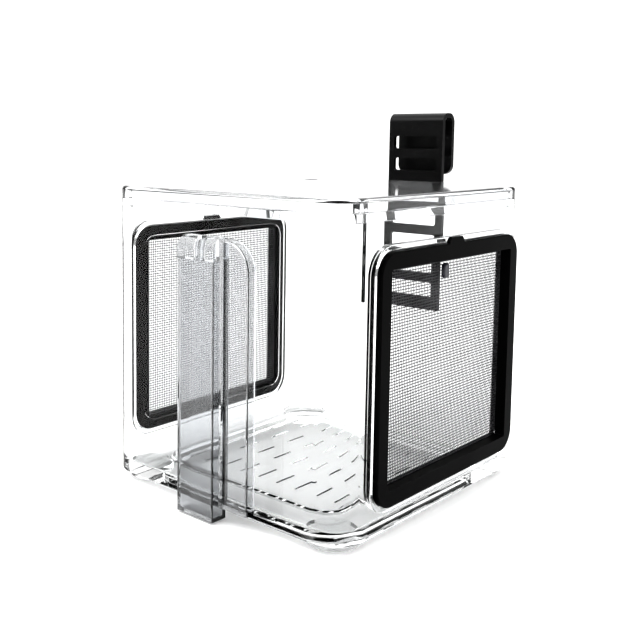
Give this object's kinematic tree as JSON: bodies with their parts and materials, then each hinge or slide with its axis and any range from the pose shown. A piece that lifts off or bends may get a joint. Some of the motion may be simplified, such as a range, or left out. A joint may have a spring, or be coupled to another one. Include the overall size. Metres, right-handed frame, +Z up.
{
  "type": "hang-on isolation box",
  "caption": "Clear lidded isolation box with framed mesh windows on two walls, a slotted floor plate, a front column and a black ladder bracket with a hook.",
  "frame": {"origin": "middle of the whole object in plan, on the plane the feet rest on", "axes": "+Z up, -Y the wall with the column, +Y the wall with the bracket, windows on the X walls"},
  "size_m": [0.152, 0.1716, 0.1815],
  "materials": {
    "clear_plastic": "clear, polished",
    "black_plastic": "black satin",
    "steel_mesh": "fine woven mesh",
    "stud_plastic": "black gloss"
  },
  "bodies": {
    "box": {"tub_shell": "clear_plastic", "foot_back_left": "clear_plastic", "foot_back_right": "clear_plastic", "foot_front_left": "clear_plastic", "foot_front_right": "clear_plastic", "window_collar_right": "clear_plastic", "window_collar_left": "clear_plastic", "bracket_guide_left": "clear_plastic", "bracket_guide_right": "clear_plastic", "column_shell": "clear_plastic", "column_cap": "clear_plastic", "side_chamber": "clear_plastic"},
    "lid": {"lid_panel": "clear_plastic", "lid_lip": "clear_plastic"},
    "window_right": {"window_frame_right": "black_plastic", "window_mesh_right": "steel_mesh", "window_retainer_right": "black_plastic", "window_button_right": "stud_plastic"},
    "window_left": {"window_frame_left": "black_plastic", "window_mesh_left": "steel_mesh", "window_retainer_left": "black_plastic", "window_button_left": "stud_plastic"},
    "floor_plate": {"floor_grate": "clear_plastic"},
    "bracket": {"bracket_ladder": "black_plastic", "bracket_hook": "black_plastic"}
  },
  "joints": [
    {"name": "lid_lift", "type": "slide", "parent": "box", "child": "lid", "axis": [0, 0, 1], "range_m": [0, 0.06]},
    {"name": "window_right_pull", "type": "slide", "parent": "box", "child": "window_right", "axis": [1, 0, 0], "range_m": [0, 0.03]},
    {"name": "window_left_pull", "type": "slide", "parent": "box", "child": "window_left", "axis": [-1, 0, 0], "range_m": [0, 0.03]},
    {"name": "floor_plate_lift", "type": "slide", "parent": "box", "child": "floor_plate", "axis": [0, 0, 1], "range_m": [0, 0.06]},
    {"name": "bracket_slide", "type": "slide", "parent": "box", "child": "bracket", "axis": [0, 0, 1], "range_m": [-0.026, 0.026]}
  ]
}
